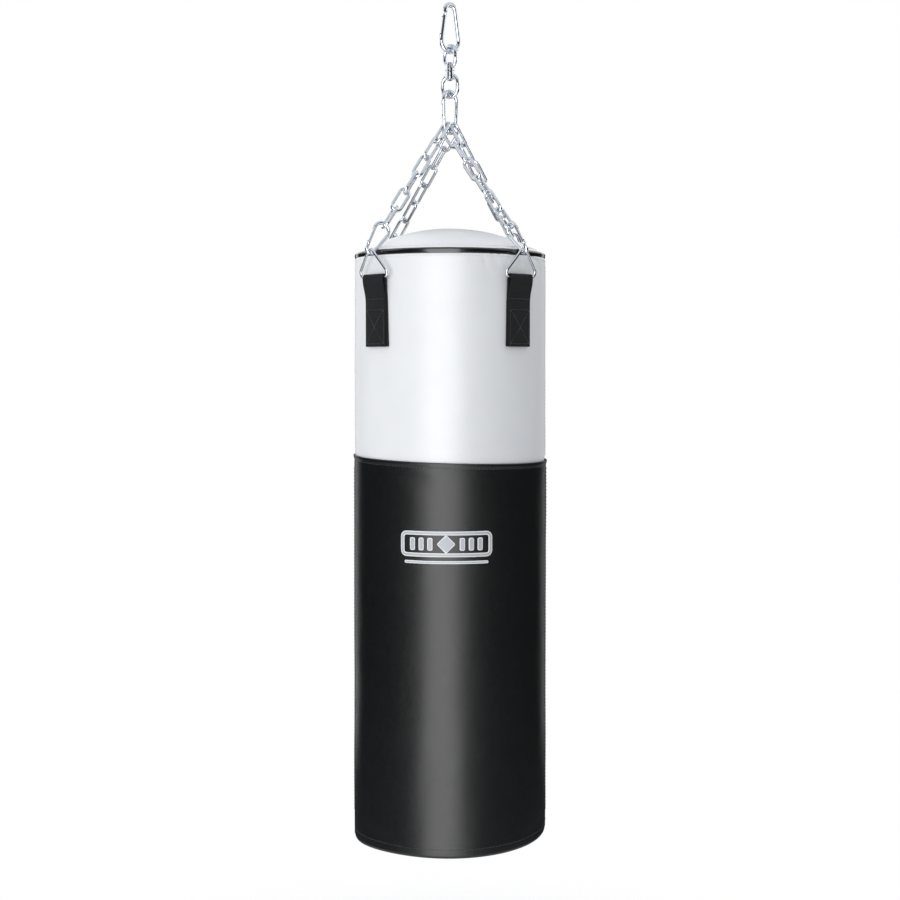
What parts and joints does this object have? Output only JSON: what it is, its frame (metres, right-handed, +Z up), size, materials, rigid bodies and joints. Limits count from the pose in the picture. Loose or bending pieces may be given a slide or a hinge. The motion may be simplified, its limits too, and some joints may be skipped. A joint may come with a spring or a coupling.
{
  "type": "hanging punching bag",
  "caption": "Heavy cylindrical punching bag with a swivel, snap hooks and a chain suspension that hangs from one point.",
  "frame": {"origin": "hang point, inside the top of the upper snap hook's narrow bend, where the hook rests on its support", "axes": "+Z up along the bag's axis, -Y towards the front, +X to the right"},
  "size_m": [0.3, 0.2998, 1.2913],
  "materials": {
    "zinc_steel": "polished",
    "spring_steel": "satin",
    "silver_vinyl": "satin",
    "black_vinyl": "satin",
    "black_piping": "gloss",
    "webbing": "matte",
    "foam": "matte",
    "textile": "matte",
    "zip_plastic": "satin"
  },
  "bodies": {
    "top_hook": {"top_hook_body": "zinc_steel", "top_hook_pin": "zinc_steel"},
    "top_gate": {"top_hook_gate": "zinc_steel", "top_hook_spring": "spring_steel"},
    "swivel_upper": {"swivel_upper_eye": "zinc_steel", "swivel_pin": "zinc_steel", "swivel_washer": "zinc_steel"},
    "swivel_lower": {"swivel_lower_eye": "zinc_steel"},
    "lower_hook": {"lower_hook_body": "zinc_steel", "lower_hook_pin": "zinc_steel"},
    "lower_gate": {"lower_hook_gate": "zinc_steel", "lower_hook_spring": "spring_steel"},
    "gate_front_left": {"small_hook_front_left_gate": "zinc_steel", "small_hook_front_left_spring": "spring_steel"},
    "gate_front_right": {"small_hook_front_right_gate": "zinc_steel", "small_hook_front_right_spring": "spring_steel"},
    "gate_back_right": {"small_hook_back_right_gate": "zinc_steel", "small_hook_back_right_spring": "spring_steel"},
    "gate_back_left": {"small_hook_back_left_gate": "zinc_steel", "small_hook_back_left_spring": "spring_steel"},
    "bag": {"chain_front_left": "zinc_steel", "small_hook_front_left_body": "zinc_steel", "small_hook_front_left_pin": "zinc_steel", "ring_front_left": "zinc_steel", "webbing_front_left": "webbing", "chain_front_right": "zinc_steel", "small_hook_front_right_body": "zinc_steel", "small_hook_front_right_pin": "zinc_steel", "ring_front_right": "zinc_steel", "webbing_front_right": "webbing", "chain_back_right": "zinc_steel", "small_hook_back_right_body": "zinc_steel", "small_hook_back_right_pin": "zinc_steel", "ring_back_right": "zinc_steel", "webbing_back_right": "webbing", "chain_back_left": "zinc_steel", "small_hook_back_left_body": "zinc_steel", "small_hook_back_left_pin": "zinc_steel", "ring_back_left": "zinc_steel", "webbing_back_left": "webbing", "upper_cover": "silver_vinyl", "lower_cover": "black_vinyl", "top_panel": "silver_vinyl", "bottom_panel": "black_vinyl", "top_piping": "black_piping", "foam_liner": "foam", "foam_base": "foam", "textile_fill": "textile", "zip_tape": "webbing", "zip_coil": "zip_plastic"},
    "zip_slider": {"zip_slider": "zinc_steel"},
    "zip_pull": {"zip_pull": "zinc_steel"}
  },
  "joints": [
    {"name": "top_gate_hinge", "type": "hinge", "parent": "top_hook", "child": "top_gate", "pos_m": [-0.00816, -0.00593, -0.01157], "axis": [0.5878, -0.809, 0], "range_deg": [0, 18], "stiffness_Nm_per_rad": 0.3, "springref_deg": -28.65, "deforming": ["top_hook_spring"]},
    {"name": "swivel_swing", "type": "hinge", "parent": "top_hook", "child": "swivel_upper", "pos_m": [0, 0, -0.068], "axis": [0.809, 0.5878, 0], "range_deg": [-25, 25]},
    {"name": "swivel_spin", "type": "hinge", "parent": "swivel_upper", "child": "swivel_lower", "pos_m": [0, 0, -0.09915], "axis": [0, 0, 1], "continuous": true},
    {"name": "lower_hook_swing", "type": "hinge", "parent": "swivel_lower", "child": "lower_hook", "pos_m": [0, 0, -0.1381], "axis": [0.891, -0.454, 0], "range_deg": [-25, 25]},
    {"name": "lower_gate_hinge", "type": "hinge", "parent": "lower_hook", "child": "lower_gate", "pos_m": [-0.00899, -0.00899, -0.17214], "axis": [-0.7071, 0.7071, 0], "range_deg": [0, 15], "stiffness_Nm_per_rad": 0.25, "springref_deg": -28.65, "deforming": ["lower_hook_spring"]},
    {"name": "bag_swing", "type": "hinge", "parent": "lower_hook", "child": "bag", "pos_m": [0, 0, -0.18155], "axis": [-0.7071, 0.7071, 0], "range_deg": [-8, 8]},
    {"name": "gate_front_left_hinge", "type": "hinge", "parent": "bag", "child": "gate_front_left", "pos_m": [-0.11712, -0.11443, -0.37454], "axis": [-0.5377, 0.8283, -0.1573], "range_deg": [0, 12], "stiffness_Nm_per_rad": 0.12, "springref_deg": -28.65, "deforming": ["small_hook_front_left_spring"]},
    {"name": "gate_front_right_hinge", "type": "hinge", "parent": "bag", "child": "gate_front_right", "pos_m": [0.11402, -0.11689, -0.37449], "axis": [-0.8132, -0.5525, -0.1828], "range_deg": [0, 12], "stiffness_Nm_per_rad": 0.12, "springref_deg": -28.65, "deforming": ["small_hook_front_right_spring"]},
    {"name": "gate_back_right_hinge", "type": "hinge", "parent": "bag", "child": "gate_back_right", "pos_m": [0.11712, 0.11443, -0.37454], "axis": [0.5377, -0.8283, -0.1573], "range_deg": [0, 12], "stiffness_Nm_per_rad": 0.12, "springref_deg": -28.65, "deforming": ["small_hook_back_right_spring"]},
    {"name": "gate_back_left_hinge", "type": "hinge", "parent": "bag", "child": "gate_back_left", "pos_m": [-0.11402, 0.11689, -0.37449], "axis": [0.8132, 0.5525, -0.1828], "range_deg": [0, 12], "stiffness_Nm_per_rad": 0.12, "springref_deg": -28.65, "deforming": ["small_hook_back_left_spring"]},
    {"name": "zip_slide", "type": "hinge", "parent": "bag", "child": "zip_slider", "pos_m": [0, 0.04849, -0.62786], "axis": [0, 1, 0], "range_deg": [0, 32.95]},
    {"name": "zip_pull_flap", "type": "hinge", "parent": "zip_slider", "child": "zip_pull", "pos_m": [-0.0891, 0.04933, -0.35478], "axis": [-0.0486, -0.9856, 0.1622], "range_deg": [0, 120]}
  ]
}
